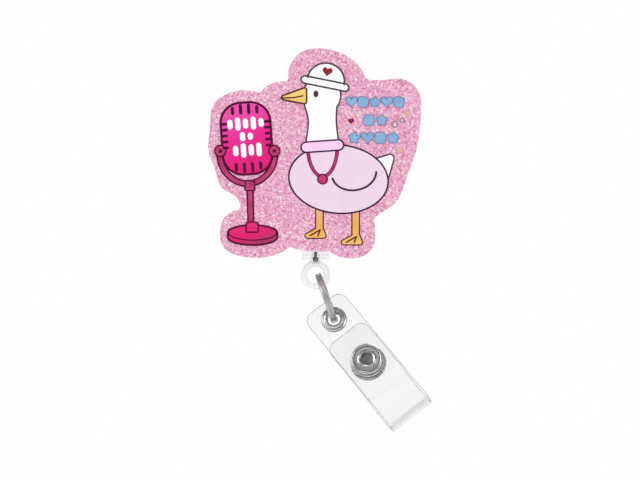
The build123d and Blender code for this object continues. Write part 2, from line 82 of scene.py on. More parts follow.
def axis(joint):
    return Vector(JOINTS[joint]["axis"]).normalized()


X, Y, Z = Vector((1, 0, 0)), Vector((0, 1, 0)), Vector((0, 0, 1))
REEL = pivot("clip_swivel")
EYELET = pivot("strap_swing")
STRAP_Z = axis("strap_swing")
STRAP_X = -axis("flap_open")
STRAP_Y = STRAP_Z.cross(STRAP_X)
FACE_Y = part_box("topper_plate")[0].y


# ---------- materials
def linear(r, g, b):
    """Display colour, 0 to 255, as the scene-linear colour that a shader takes."""
    def channel(c):
        c /= 255
        return c / 12.92 if c <= 0.04045 else ((c + 0.055) / 1.055) ** 2.4
    return (channel(r), channel(g), channel(b), 1)


def add_node(tree, kind, **settings):
    made = tree.nodes.new("ShaderNode" + kind)
    for key, value in settings.items():
        setattr(made, key, value)
    return made


class Finish:
    """A procedural material about one Principled shader; its colours are given as display colours."""

    def __init__(self, name, colour, roughness=0.4, **sockets):
        self.material = bpy.data.materials.new(name)
        self.material.use_nodes = True
        self.tree = self.material.node_tree
        self.shader = self.tree.nodes["Principled BSDF"]
        self.shader.inputs["Base Color"].default_value = linear(*colour)
        self.shader.inputs["Roughness"].default_value = roughness
        for socket, value in sockets.items():
            self.shader.inputs[socket.replace("_", " ")].default_value = value
        self.place = self.node("TexCoord").outputs["Object"]

    def node(self, kind, **settings):
        return add_node(self.tree, kind, **settings)

    def link(self, output, target):
        self.tree.links.new(output, target)

    def stretched(self, *scale):
        """Object coordinates scaled apart along the three axes, for grain."""
        mapping = self.node("Mapping")
        mapping.inputs["Scale"].default_value = scale
        self.link(self.place, mapping.inputs["Vector"])
        return mapping.outputs["Vector"]

    def noise(self, size_mm, detail=2.0, place=None):
        """Soft noise with blotches of about the given size."""
        noise = self.node("TexNoise")
        noise.inputs["Scale"].default_value = 1000 / size_mm
        noise.inputs["Detail"].default_value = detail
        self.link(place or self.place, noise.inputs["Vector"])
        return noise.outputs["Fac"]

    def cells(self, size_mm, output="Color"):
        """Cells of about the given size, each with a colour of its own."""
        cells = self.node("TexVoronoi")
        cells.inputs["Scale"].default_value = 1000 / size_mm
        self.link(self.place, cells.inputs["Vector"])
        return cells.outputs[output]

    def ramp(self, value, *stops):
        """Ramp with (position, display colour) or (position, number) stops."""
        ramp = self.node("ValToRGB")
        elements = ramp.color_ramp.elements
        for count, (position, colour) in enumerate(stops):
            if count < 2:
                elements[count].position = position
            else:
                elements.new(position)
            elements[count].color = linear(*colour) if isinstance(colour, tuple) else (*[colour] * 3, 1)
        self.link(value, ramp.inputs["Fac"])
        return ramp.outputs["Color"]

    def range(self, value, low, high, from_low=0.3, from_high=0.7):
        """Value spread from its own range to low and high, and held there past its ends."""
        spread = self.node("MapRange")
        limits = {"From Min": from_low, "From Max": from_high, "To Min": low, "To Max": high}
        for socket, number in limits.items():
            spread.inputs[socket].default_value = number
        self.link(value, spread.inputs["Value"])
        return spread.outputs["Result"]

    def mix(self, factor, first, second, blend="MIX"):
        """Two colours mixed; each input is a value, a display colour or another node's output."""
        mix = self.node("Mix", data_type="RGBA", blend_type=blend)
        if isinstance(factor, float):
            mix.inputs[0].default_value = factor
        else:
            self.link(factor, mix.inputs[0])
        for socket, value in ((mix.inputs[6], first), (mix.inputs[7], second)):
            if isinstance(value, tuple):
                socket.default_value = linear(*value)
            else:
                self.link(value, socket)
        return mix.outputs[2]

    def colour(self, output):
        self.link(output, self.shader.inputs["Base Color"])
        return self

    def rough(self, output):
        self.link(output, self.shader.inputs["Roughness"])
        return self

    def bump(self, height, strength, depth_mm):
        bump = self.node("Bump")
        bump.inputs["Strength"].default_value = strength
        bump.inputs["Distance"].default_value = mm(depth_mm)
        self.link(height, bump.inputs["Height"])
        self.link(bump.outputs["Normal"], self.shader.inputs["Normal"])
        return self


def glitter_acrylic():
    """Clear pink acrylic full of flakes, each tilted its own way, with pale and deep specks among them."""
    f = Finish("glitter_acrylic", (231, 172, 199), 0.35, Specular_IOR_Level=0.22)
    flake = f.cells(0.36)
    separate = f.node("SeparateColor")
    f.link(flake, separate.inputs["Color"])
    flakes = f.ramp(separate.outputs["Red"], (0.0, (178, 80, 130)), (0.2, (210, 126, 166)),
                    (0.5, (229, 164, 194)), (0.85, (242, 194, 216)), (1.0, (255, 236, 246)))
    drift = f.ramp(f.noise(1.0, 3.0), (0.36, (216, 140, 174)), (0.64, (240, 190, 212)))
    coarse = f.node("SeparateColor")
    f.link(f.cells(0.42), coarse.inputs["Color"])
    specks = f.range(coarse.outputs["Green"], 0, 0.8, 0.91, 0.98)
    mixed = f.mix(0.34, flakes, drift)
    f.colour(f.mix(specks, mixed, (252, 236, 244)))
    f.rough(f.range(separate.outputs["Green"], 0.22, 0.5, 0, 1))
    tilt = f.node("VectorMath", operation="MULTIPLY_ADD")
    f.link(flake, tilt.inputs[0])
    tilt.inputs[1].default_value = (0.5, 0.5, 0.5)
    tilt.inputs[2].default_value = (-0.25, -0.25, -0.25)
    lean = f.node("VectorMath", operation="ADD")
    f.link(f.node("NewGeometry").outputs["Normal"], lean.inputs[0])
    f.link(tilt.outputs[0], lean.inputs[1])
    unit = f.node("VectorMath", operation="NORMALIZE")
    f.link(lean.outputs[0], unit.inputs[0])
    f.link(unit.outputs[0], f.shader.inputs["Normal"])
    f.shader.inputs["Coat Weight"].default_value = 0.25
    f.shader.inputs["Coat Roughness"].default_value = 0.06
    return f.material


INK_GLOSS = 0.12


def dotted(f, tone, least):
    """The tone of an ink under the faint dots of the print, which darken it to least at their middles."""
    dots = f.range(f.cells(0.16, "Distance"), least, 1.0, 0.0, 0.6)
    return f.mix(1.0, tone, dots, "MULTIPLY")


def ink(name, colour, shade, roughness=0.42, drift_mm=3.0):
    """Printed ink: a slow drift between two close tones and the faint dots of the print."""
    f = Finish(name, colour, roughness, Specular_IOR_Level=INK_GLOSS)
    f.colour(dotted(f, f.ramp(f.noise(drift_mm), (0.35, shade), (0.65, colour)), 0.97))
    f.rough(f.range(f.noise(0.8), roughness - 0.06, roughness + 0.06))
    return f.bump(f.noise(0.25, 1.0), 0.08, 0.02).material


def graded_ink(name, direction, low_mm, high_mm, *stops):
    """Ink that changes tone along a direction of the reel, between two heights in millimetres."""
    f = Finish(name, stops[0][1], 0.38, Specular_IOR_Level=INK_GLOSS)
    along = f.node("VectorMath", operation="DOT_PRODUCT")
    f.link(f.place, along.inputs[0])
    along.inputs[1].default_value = direction
    reel = REEL.dot(direction)
    spread = f.range(along.outputs["Value"], 0, 1, reel + mm(low_mm), reel + mm(high_mm))
    f.colour(dotted(f, f.ramp(spread, *stops), 0.94))
    f.rough(f.range(f.noise(0.8), 0.32, 0.44))
    return f.bump(f.noise(0.25, 1.0), 0.08, 0.02).material


def film(name, colour, shade, veil, roughness, blend=0.35):
    """Thin clear moulding with faint cloudy streaks; veil is its opacity from face on (0) to edge on (1)."""
    f = Finish(name, colour, roughness, IOR=1.49)
    f.colour(f.ramp(f.noise(2.5, 3.0), (0.3, shade), (0.7, colour)))
    f.rough(f.range(f.noise(0.7, 3.0), roughness * 0.8, roughness * 1.25))
    weight = f.node("LayerWeight")
    weight.inputs["Blend"].default_value = blend
    opacity = f.ramp(weight.outputs["Facing"], *veil)
    cloud = f.range(f.noise(4.0, 2.0), 0.93, 1.07)
    clouded = f.node("Math", operation="MULTIPLY", use_clamp=True)
    f.link(opacity, clouded.inputs[0])
    f.link(cloud, clouded.inputs[1])
    f.link(clouded.outputs[0], f.shader.inputs["Alpha"])
    return f.material


def moulded(name, colour, shade, roughness):
    """Opaque moulded plastic with a fine spark-eroded texture."""
    f = Finish(name, colour, roughness)
    f.colour(f.ramp(f.noise(5.0, 3.0), (0.3, shade), (0.7, colour)))
    f.rough(f.range(f.noise(0.6, 3.0), roughness - 0.08, roughness + 0.08))
    return f.bump(f.noise(0.22, 2.0), 0.2, 0.02).material


def plated(name, colour, shade, roughness, grain, scratch):
    """Plated metal with fine rubbed scratches and duller patches."""
    f = Finish(name, colour, roughness, Metallic=1.0)
    f.colour(f.ramp(f.noise(2.2, 4.0), (0.35, shade), (0.62, colour)))
    lines = f.noise(0.35, 3.0, f.stretched(*grain))
    f.rough(f.range(lines, roughness * 0.8, roughness * 1.3))
    return f.bump(lines, scratch, 0.008).material


def foam():
    """Closed-cell foam tape, painted darker towards the sunken middle of each cell: a painted shade in the
    hollows.
    """
    f = Finish("foam_tape", (236, 236, 231), 0.85, Sheen_Weight=0.2)
    f.colour(f.ramp(f.cells(0.18, "Distance"), (0.0, (206, 206, 200)), (0.5, (240, 240, 236))))
    return f.bump(f.cells(0.18, "Distance"), 0.6, 0.06).material


def braid():
    """Dark braided nylon: two crossed sets of ridges, painted lighter along their crests and darker between them,
    a painted highlight and shade.
    """
    f = Finish("braided_nylon", (52, 52, 56), 0.62, Sheen_Weight=0.3)
    waves = []
    for lean in (0.7, -0.7):
        leaning = f.node("Mapping")
        leaning.inputs["Rotation"].default_value = (0, lean, 0)
        f.link(f.place, leaning.inputs["Vector"])
        wave = f.node("TexWave")
        wave.inputs["Scale"].default_value = 1000 / 1.6
        wave.inputs["Distortion"].default_value = 0.6
        f.link(leaning.outputs["Vector"], wave.inputs["Vector"])
        waves.append(wave.outputs["Fac"])
    crossed = f.node("Math", operation="MAXIMUM")
    for count, wave in enumerate(waves):
        f.link(wave, crossed.inputs[count])
    f.colour(f.ramp(crossed.outputs[0], (0.2, (30, 30, 33)), (0.9, (88, 88, 94))))
    return f.bump(crossed.outputs[0], 0.7, 0.05).material


OUTLINE = ink("ink_plum", (74, 26, 70), (60, 18, 56), 0.4)
OUTLINE_GREY = ink("ink_grey_plum", (82, 66, 78), (66, 50, 64), 0.4)
OUTLINE_WINE = ink("ink_wine", (92, 8, 52), (72, 4, 40), 0.4)
OUTLINE_BROWN = ink("ink_brown", (92, 44, 34), (72, 32, 26), 0.4)
INK_WHITE = ink("ink_white", (253, 252, 254), (248, 246, 251), 0.42)
INK_SMOCK = ink("ink_smock", (238, 214, 232), (234, 211, 228), 0.42, 6.0)
INK_COLLAR = ink("ink_collar", (252, 208, 240), (248, 203, 235), 0.42)
INK_CORD = ink("ink_cord", (196, 60, 112), (172, 48, 100), 0.36, 2.0)
INK_BEAK = graded_ink("ink_beak", -Z, -26.0, -18.0, (0.0, (244, 206, 120)), (1.0, (233, 176, 104)))
INK_FOOT = graded_ink("ink_foot", -Z, 6.5, 14.5, (0.0, (236, 176, 126)), (0.45, (234, 172, 92)),
                      (1.0, (240, 190, 112)))
INK_BLUE = ink("ink_blue", (142, 178, 216), (130, 168, 208), 0.42, 2.0)
INK_SLATE = ink("ink_slate", (112, 134, 174), (100, 122, 164))
INK_TAN = ink("ink_tan", (222, 180, 160), (206, 164, 146))
INK_RED = ink("ink_red", (150, 38, 60), (124, 30, 50))
INK_GREY = ink("ink_grey", (150, 128, 146), (132, 110, 128))
INK_MIC = graded_ink("ink_microphone", Vector((0.45, 0, -0.9)), -28.0, -15.0, (0.0, (230, 82, 170)),
                     (0.5, (230, 46, 148)), (1.0, (224, 34, 124)))
INK_SLOT = ink("ink_slot", (94, 8, 58), (76, 4, 46))
INK_YOKE = ink("ink_yoke", (190, 66, 118), (170, 52, 104), 0.36, 2.0)
INK_BASE = graded_ink("ink_base", Vector((0.3, 0, -0.95)), 3.9, 8.9, (0.0, (224, 44, 116)),
                      (0.6, (222, 34, 110)), (1.0, (180, 54, 102)))

GLITTER = glitter_acrylic()
CLEAR_CASE = film("clear_case", (228, 230, 233), (210, 213, 217), ((0.05, 0.07), (0.9, 0.55)), 0.12)
FROSTED = film("frosted_plastic", (240, 241, 243), (230, 232, 235), ((0.05, 0.22), (0.9, 0.6)), 0.25)
WHITE_PLASTIC = moulded("white_plastic", (240, 240, 236), (228, 228, 223), 0.45)
# The hump in the vinyl's veil, between facings 0.06 and 0.44, is a painted shade: it greys the film where it turns
# partly away, as along the fold.
VINYL = film("clear_vinyl", (200, 202, 204), (195, 198, 200),
             ((0.0, 0.04), (0.03, 0.045), (0.06, 0.12), (0.11, 0.21), (0.17, 0.24), (0.24, 0.23),
              (0.33, 0.17), (0.44, 0.1), (0.6, 0.18), (1.0, 0.8)), 0.1, 0.5)
VINYL_EDGE = film("clear_vinyl_edge", (158, 160, 162), (146, 149, 151), ((0.05, 0.6), (0.9, 0.7)), 0.2)
RING_STEEL = plated("ring_steel", (190, 190, 191), (174, 174, 176), 0.38, (1, 1, 0.3), 0.03)
NICKEL = plated("nickel", (204, 203, 202), (192, 192, 193), 0.15, (1, 1, 1), 0.03)
# Darker, rougher nickel for the hollows of the snap: a painted shade in its recess and groove.
NICKEL_PAINTED_SHADE = plated("nickel_painted_shade", (126, 126, 127), (100, 100, 102), 0.4, (1, 1, 1), 0.1)
CLIP_STEEL = plated("clip_steel", (206, 206, 208), (192, 192, 195), 0.22, (1, 1, 0.12), 0.08)
SPRING_STEEL = plated("spring_steel", (150, 154, 164), (120, 124, 134), 0.28, (1, 1, 0.3), 0.1)
FOAM = foam()
BRAID = braid()


# ---------- mesh code
LATHE_STEPS = 96


def piece(name, verts, faces, material, smooth_angle=35.0, second=None, marked=()):
    """Mesh object, shaded smooth except along creases; the marked faces take the second material."""
    mesh = bpy.data.meshes.new(name)
    mesh.from_pydata([tuple(v) for v in verts], [], faces)
    for index in marked:
        mesh.polygons[index].material_index = 1
    tidy = bmesh.new()
    tidy.from_mesh(mesh)
    bmesh.ops.remove_doubles(tidy, verts=tidy.verts, dist=1e-7)
    bmesh.ops.recalc_face_normals(tidy, faces=tidy.faces)
    tidy.to_mesh(mesh)
    tidy.free()
    mesh.shade_smooth()
    mesh.set_sharp_from_angle(angle=math.radians(smooth_angle))
    for finish in filter(None, (material, second)):
        mesh.materials.append(finish)
    made = bpy.data.objects.new(name, mesh)
    bpy.context.scene.collection.objects.link(made)
    return made


def settle(made, body, slot, *replaced):
    """The piece rides on its body and stands for its CAD nodes; slot is not used."""
    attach(made, body)
    if replaced:
        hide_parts(*replaced)
    return made


def rounded(points, radii, steps=5):
    """Closed 2-D outline with its corners rounded; radii is one number or one for each point."""
    count = len(points)
    radii = [radii] * count if isinstance(radii, (int, float)) else radii
    made = []
    for k, (point, radius) in enumerate(zip(points, radii)):
        here = Vector(point)
        if radius <= 0:
            made.append(here)
            continue
        back, ahead = Vector(points[k - 1]) - here, Vector(points[(k + 1) % count]) - here
        half = back.angle(ahead) / 2
        reach = min(radius / math.tan(half), back.length * 0.49, ahead.length * 0.49)
        radius = reach * math.tan(half)
        centre = here + (back.normalized() + ahead.normalized()).normalized() * (radius / math.sin(half))
        first = here + back.normalized() * reach - centre
        last = here + ahead.normalized() * reach - centre
        turn = first.angle_signed(last)
        for step in range(steps + 1):
            spin = Matrix.Rotation(-turn * step / steps, 2)
            made.append(centre + spin @ first)
    return made


def lathe(profile, centre, along, segments=LATHE_STEPS):
    """Vertices and faces of a closed (radius, height) outline turned about an axis."""
    side = along.orthogonal().normalized()
    other = along.cross(side)
    verts, faces = [], []
    for step in range(segments):
        angle = math.tau * step / segments
        out = side * math.cos(angle) + other * math.sin(angle)
        verts += [centre + out * radius + along * height for radius, height in profile]
    size = len(profile)
    for step in range(segments):
        a, b = step * size, (step + 1) % segments * size
        faces += [(a + k, a + (k + 1) % size, b + (k + 1) % size, b + k) for k in range(size)]
    return verts, faces


def turned(name, material, centre, along, outline, radii, second=None, painted_shade_radii=()):
    """Lathe piece from an outline in millimetres; its front takes the second material in the given radii, a darker
    finish that paints shade there.
    """
    profile = rounded(outline, radii)
    count = len(profile)
    marked = []
    for k, point in enumerate(profile):
        middle = (point + profile[(k + 1) % count]) / 2
        if middle.y > 0 and any(low <= middle.x <= high for low, high in painted_shade_radii):
            marked += [step * count + k for step in range(LATHE_STEPS)]
    shape = lathe([p / 1000 for p in profile], centre, along)
    return piece(name, *shape, material, second=second, marked=marked)


def directions(points, closed=False):
    """Unit direction of a path at each of its points."""
    count = len(points)
    made = []
    for k in range(count):
        ahead = points[(k + 1) % count] if closed else points[min(k + 1, count - 1)]
        behind = points[k - 1] if closed else points[max(k - 1, 0)]
        made.append((ahead - behind).normalized())
    return made


def tube(points, radius, sides=10, up=None, closed=False, section=None):
    """Tube along a path, round or with a section given for each point, twisting as little as it can."""
    count, tangents = len(points), directions(points, closed)
    normal = up - tangents[0] * up.dot(tangents[0]) if up else tangents[0].orthogonal()
    angles = [math.tau * k / sides for k in range(sides)]
    sections = section or [[(radius * math.cos(a), radius * math.sin(a)) for a in angles]] * count
    size = len(sections[0])
    verts, faces = [], []
    for k, (point, tangent) in enumerate(zip(points, tangents)):
        fixed = up if up else normal
        normal = (fixed - tangent * fixed.dot(tangent)).normalized()
        side = tangent.cross(normal)
        verts += [point + normal * a + side * b for a, b in sections[k]]
    for k in range(count if closed else count - 1):
        a, b = k * size, (k + 1) % count * size
        faces += [(a + j, a + (j + 1) % size, b + (j + 1) % size, b + j) for j in range(size)]
    if not closed:
        faces += [tuple(range(size))[::-1], tuple(range((count - 1) * size, count * size))]
    return verts, faces


def evenly(first, last, steps):
    """The values from first to last, in that many equal steps."""
    return [first + (last - first) * k / steps for k in range(steps + 1)]


def eased(share):
    """A share from 0 to 1 that starts and stops gently."""
    return share * share * (3 - 2 * share)


def join(parts):
    """Several (verts, faces) as one."""
    verts, faces = [], []
    for more_verts, more_faces in parts:
        first = len(verts)
        verts += more_verts
        faces += [tuple(first + k for k in face) for face in more_faces]
    return verts, faces


# ---------- flat artwork on the topper
def smooth(points, closed=False, steps=8):
    """Catmull-Rom curve through 2-D points; a point given twice in a row stays a corner."""
    points = [Vector(p) for p in points]
    count = len(points)
    made = []
    for k in range(count if closed else count - 1):
        p1, p2 = points[k], points[(k + 1) % count]
        if (p2 - p1).length < 1e-6:
            continue
        p0 = points[k - 1] if closed or k else p1
        p3 = points[(k + 2) % count] if closed or k + 2 < count else p2
        for step in range(steps):
            t = step / steps
            made.append(0.5 * (2 * p1 + (p2 - p0) * t + (2 * p0 - 5 * p1 + 4 * p2 - p3) * t**2
                               + (3 * p1 - p0 - 3 * p2 + p3) * t**3))
    if not closed:
        made.append(points[-1])
    return made


FILL_T, LINE_T, PRINT_STEP = 0.06, 0.03, 0.0015
CAP_STEPS = 8


def on_face(point, level):
    """2-D point of the drawing, in millimetres about the reel's axis; level is its height over the face."""
    return Vector((REEL.x + mm(point[0]), FACE_Y - mm(level), REEL.z + mm(point[1])))


def filled(outline, level):
    """Closed 2-D outline as a flat layer whose front is at level."""
    tidy = bmesh.new()
    ring = [tidy.verts.new(on_face(p, level)) for p in outline]
    edges = [tidy.edges.new((ring[k - 1], ring[k])) for k in range(len(ring))]
    bmesh.ops.triangle_fill(tidy, edges=edges, use_beauty=True)
    walls = bmesh.ops.extrude_edge_only(tidy, edges=edges)["geom"]
    for item in walls:
        if isinstance(item, bmesh.types.BMVert):
            item.co.y += mm(min(FILL_T, level))
    tidy.verts.index_update()
    verts = [v.co.copy() for v in tidy.verts]
    faces = [tuple(v.index for v in f.verts) for f in tidy.faces]
    tidy.free()
    return verts, faces


def half_round(middle, radius, first):
    """Points of a half circle that starts at the angle first."""
    angles = evenly(first, first + math.pi, CAP_STEPS)
    return [middle + Vector((math.cos(angle), math.sin(angle))) * radius for angle in angles]


def stroke(points, width, level, closed=False):
    """Inked line: a flat ribbon along a 2-D path, with round ends."""
    nearest = 1e-4
    points = [p for k, p in enumerate(points) if not k or (p - points[k - 1]).length > nearest]
    if closed and (points[0] - points[-1]).length < nearest:
        points.pop()
    count = len(points)
    aside = [Vector((-run.y, run.x)) * width / 2 for run in directions(points, closed)]
    left, right = [p + q for p, q in zip(points, aside)], [p - q for p, q in zip(points, aside)]
    verts = [on_face(p, level) for p in left + right]
    spans = [(k, (k + 1) % count) for k in range(count if closed else count - 1)]
    faces = [(a, b, count + b, count + a) for a, b in spans]
    if not closed:
        for end, towards in ((0, 1), (count - 1, count - 2)):
            out = points[end] - points[towards]
            cap = half_round(points[end], width / 2, math.atan2(out.y, out.x) - math.pi / 2)
            faces.append(tuple(range(len(verts), len(verts) + len(cap))))
            verts += [on_face(p, level) for p in cap]
    back, size = [v + Y * mm(LINE_T) for v in verts], len(verts)
    faces += [(a, b, size + b, size + a) for a, b in spans]
    faces += [(count + b, count + a, size + count + a, size + count + b) for a, b in spans]
    return verts + back, faces


def ellipse(x, z, rx, rz, turn=0.0, count=48, first=0.0, last=math.tau):
    """Ellipse, or its arc between two angles, turned clockwise."""
    spin = Matrix.Rotation(-turn, 2)
    angles = evenly(first, last, count)
    if (first, last) == (0.0, math.tau):
        angles.pop()
    return [Vector((x, z)) + spin @ Vector((rx * math.cos(a), rz * math.sin(a))) for a in angles]


def bar(start, end, width):
    """Straight bar with round ends, as an outline."""
    start, end = Vector(start), Vector(end)
    angle = math.atan2(end.y - start.y, end.x - start.x)
    return half_round(end, width / 2, angle - math.pi / 2) + half_round(start, width / 2, angle + math.pi / 2)


def printer(subject, node):
    """Gives the function that lays down one print's colours, each named after its subject."""
    def lay(name, material, *parts):
        """One colour; each of its parts lies a hair in front of the one before."""
        stepped = [([v - Y * mm(PRINT_STEP * k) for v in verts], faces)
                   for k, (verts, faces) in enumerate(parts)]
        made = piece(subject + "_" + name, *join(stepped), material, 60.0)
        settle(made, "reel", SLOTS[node], node)
    return lay


def heart(x, z, size, turn=0.0):
    """The usual heart curve, which is 34 units tall, about its middle."""
    spin = Matrix.Rotation(-turn, 2)
    points = []
    for t in evenly(0, math.tau, 40)[:-1]:
        across = 16 * math.sin(t) ** 3
        up = 13 * math.cos(t) - 5 * math.cos(2 * t) - 2 * math.cos(3 * t) - math.cos(4 * t)
        points.append(Vector((x, z)) + spin @ (Vector((across, up + 2)) * (size / 34)))
    return points


def star(x, z, radius, turn=0.0):
    """Plump five-pointed star."""
    points = []
    for k in range(10):
        reach = radius if k % 2 == 0 else radius * 0.52
        angle = turn + math.pi * k / 5
        points.append(Vector((x, z)) + Vector((math.sin(angle), math.cos(angle))) * reach)
    return rounded(points, 0.25 * radius, 3)


def soft_square(x, z, size, turn=0.0):
    """Square with well rounded corners."""
    spin = Matrix.Rotation(-turn, 2)
    corners = [Vector((x, z)) + spin @ (Vector(c) * size / 2) for c in ((-1, -1), (1, -1), (1, 1), (-1, 1))]
    return rounded(corners, size * 0.3, 4)


def fills(level, *outlines):
    """Several filled outlines at one level."""
    return [filled(one, level) for one in outlines]


def rims(width, level, *outlines):
    """Closed lines along the outlines."""
    return [stroke(one, width, level, True) for one in outlines]


def edged(width, level, *outlines):
    """Lines that lie under the filled shapes, so that only a rim shows about their joint outline."""
    return rims(2 * width, level, *outlines)


# Sizes and places are the drawing's own, in millimetres about the reel's axis. Levels stack the colours:
# a line that edges a shape lies under it, and a line that is drawn on a shape lies over it.
def draw_bird():
    """A plain water bird in a round cap and a pale smock, made of ellipses and rounded shapes."""
    smock = ellipse(6.2, 2.4, 13.2, 9.0, math.radians(5), 72)
    neck = smooth([(-2.6, 25.0), (-1.7, 18.0), (-2.6, 11.0), (-2.6, 11.0), (6.2, 11.4), (6.2, 11.4),
                   (5.4, 18.0), (5.8, 25.0), (5.8, 25.0)], True)
    head, eye = ellipse(1.7, 25.0, 4.9, 4.9), ellipse(0.1, 25.4, 0.66, 0.92)
    tail = rounded([(14.0, 7.0), (21.4, 9.4), (19.0, 0.6)], 0.9)
    wing = ellipse(10.4, 4.0, 6.0, 4.6, -0.15, 40, math.pi * 1.04, math.pi * 1.96)
    crown = ellipse(2.8, 28.9, 5.0, 4.8, 0.2, 32, 0.0, math.pi)
    brim = bar((-2.9, 29.3), (8.0, 27.1), 2.0)
    bill = rounded([(-2.4, 27.3), (-10.8, 24.2), (-2.4, 22.6)], 0.6)
    bill_line = smooth([(-9.4, 24.3), (-6.0, 24.4), (-3.4, 24.9)])
    scarf = bar((-2.5, 11.0), (6.2, 11.6), 2.8)
    loop = ellipse(1.9, 11.3, 4.0, 8.2, 0.0, 40, math.pi * 1.03, math.pi * 1.97)
    pendant = ellipse(1.9, 2.4, 1.3, 1.3)
    feet, toes = [], []
    for x, z in ((1.05, -13.4), (10.85, -15.2)):
        feet.append(bar((x, -5.0), (x, z + 1.6), 1.7))
        feet.append(rounded([(x - 5.2, z), (x + 0.6, z + 3.2), (x + 1.9, z)], 0.5))
        root = Vector((x + 0.2, z + 2.1))
        toes += [stroke([root, Vector((x + reach, z + 0.5))], 0.32, 0.16) for reach in (-2.6, -0.4)]
    bird = printer("bird", "bird_print")
    bird("smock", INK_SMOCK, filled(smock, 0.08))
    bird("white", INK_WHITE, filled(tail, 0.05), *fills(0.1, neck, head, crown, brim))
    bird("scarf", INK_COLLAR, filled(scarf, 0.14))
    bird("bill", INK_BEAK, filled(bill, 0.12))
    bird("feet", INK_FOOT, *fills(0.06, *feet))
    bird("necklace", INK_CORD, stroke(loop, 0.62, 0.125), filled(pendant, 0.19))
    bird("cap_heart", INK_RED, filled(heart(3.2, 31.3, 2.9, 0.15), 0.15))
    bird("lines", OUTLINE, *edged(0.46, 0.065, smock), *rims(0.42, 0.15, scarf), stroke(wing, 0.5, 0.16))
    bird("fine_lines", OUTLINE_GREY, *edged(0.42, 0.03, tail), *edged(0.42, 0.088, neck, head),
         stroke(crown, 0.44, 0.14), *rims(0.44, 0.15, brim), filled(eye, 0.15))
    bird("warm_lines", OUTLINE_BROWN, *edged(0.34, 0.03, *feet), *rims(0.42, 0.15, bill),
         stroke(bill_line, 0.36, 0.16), *toes)
    bird("necklace_lines", OUTLINE_WINE, stroke(loop, 1.0, 0.11), *rims(0.34, 0.2, pendant))


def draw_microphone():
    """A plain stage microphone in a yoke on a round foot, with rows of sound bars on its face."""
    middle, spin = Vector((-18.6, 13.4)), Matrix.Rotation(math.radians(4), 2)

    def on_head(x, z):
        return middle + spin @ Vector((x, z))

    half_w, half_h = 6.7, 9.7
    corners = ((-half_w, -half_h), (half_w, -half_h), (half_w, half_h), (-half_w, half_h))
    head = rounded([on_head(x, z) for x, z in corners], 5.4, 10)
    slots = [bar(on_head(x, end * 6.9), on_head(x, end * (9.0 - 0.06 * x * x)), 0.85)
             for end in (-1, 1) for x in (-3.3, -1.1, 1.1, 3.3)]
    slots += [bar(on_head(side * 5.3, z), on_head(side * 6.2, z), 0.75)
              for side in (-1, 1) for z in (4.2, 2.6, 1.0, -0.6, -2.2)]
    rows = []
    for z, heights in ((4.0, (2.4, 3.3, 2.5, 3.3, 2.2)), (0.5, (2.3, 1.7)), (-3.2, (2.6, 3.7, 2.8, 3.5))):
        for k, height in enumerate(heights):
            x, reach = (k - (len(heights) - 1) / 2) * 2.1, height / 2 - 0.6
            rows.append(bar(on_head(x, z - reach), on_head(x, z + reach), 1.4))
    yoke_x, yoke_z = -18.4, 9.4
    arc = ellipse(yoke_x, yoke_z, 7.5, 8.2, 0.0, 48, math.pi, math.tau)
    pivots = [(yoke_x + side * 7.3, yoke_z + 0.6) for side in (-1, 1)]
    discs = [ellipse(x, z, 1.5, 1.5) for x, z in pivots]
    screws = [ellipse(x, z, 0.45, 0.45) for x, z in pivots]
    collar = rounded([(-19.1, -0.7), (-16.3, -0.7), (-16.5, 2.0), (-18.9, 2.0)], 0.4)
    stem = rounded([(-18.5, 0.0), (-18.2, -10.0), (-16.7, -10.0), (-16.9, 0.0)], 0.1)
    block = rounded([(-18.6, -9.2), (-15.6, -9.2), (-15.4, -11.9), (-18.8, -11.9)], 0.35)
    base_x, top_z, foot_z = -17.0, -12.1, -13.3
    base = (ellipse(base_x, top_z, 6.7, 2.1, 0.0, 40, 0.0, math.pi)
            + ellipse(base_x, foot_z, 6.7, 2.1, 0.0, 40, math.pi, math.tau))
    base_edge = ellipse(base_x, top_z, 6.5, 2.0, 0.0, 40, math.pi, math.tau)
    microphone = printer("microphone", "microphone_print")
    microphone("head", INK_MIC, filled(head, 0.12))
    microphone("slots", INK_SLOT, *fills(0.14, *slots))
    microphone("yoke", INK_YOKE, stroke(arc, 1.1, 0.08), filled(stem, 0.09), filled(collar, 0.1),
               *fills(0.15, *discs))
    microphone("base", INK_BASE, filled(base, 0.08), filled(block, 0.14))
    microphone("bars", INK_WHITE, *fills(0.16, *rows))
    microphone("lines", OUTLINE_WINE, stroke(arc, 1.9, 0.05), *rims(0.6, 0.15, head), *rims(0.4, 0.095, stem),
               *rims(0.34, 0.13, collar), *rims(0.34, 0.17, block), *rims(0.5, 0.13, base),
               stroke(base_edge, 0.3, 0.13), *rims(0.36, 0.17, *discs), *fills(0.17, *screws))


def draw_accents():
    """Rows of hearts, squares and stars, and a few dots."""
    rows = ((23.2, 3.3, (9.7, 12.9, 16.1, 19.3, 22.5)), (18.3, 3.4, (14.4, 17.9)),
            (13.5, 3.5, (10.5, 14.0, 17.5, 21.0)))
    shapes = []
    for row, (z, size, places) in enumerate(rows):
        for k, x in enumerate(places):
            choices = (heart(x, z, size * 1.05), soft_square(x, z, size * 0.86, 0.12),
                       star(x, z, size * 0.58, 0.1))
            shapes.append(choices[(row + k) % 3])
    rings = [ellipse(x, z, r, r, count=24) for x, z, r in ((21.4, 17.2, 0.8), (23.4, 18.2, 0.6))]
    dots = [ellipse(x, z, 0.8, 0.8) for x, z in ((24.6, 20.2), (22.6, 10.4))]
    accent = printer("accent", "accent_prints")
    accent("blue", INK_BLUE, *fills(0.08, *shapes))
    accent("blue_lines", INK_SLATE, *rims(0.2, 0.1, *shapes))
    accent("rings", INK_GREY, *rims(0.24, 0.1, *rings))
    accent("dots", INK_TAN, *fills(0.08, *dots))
    accent("heart", INK_RED, filled(heart(9.6, 18.0, 1.8), 0.08))


draw_bird()
draw_microphone()
draw_accents()

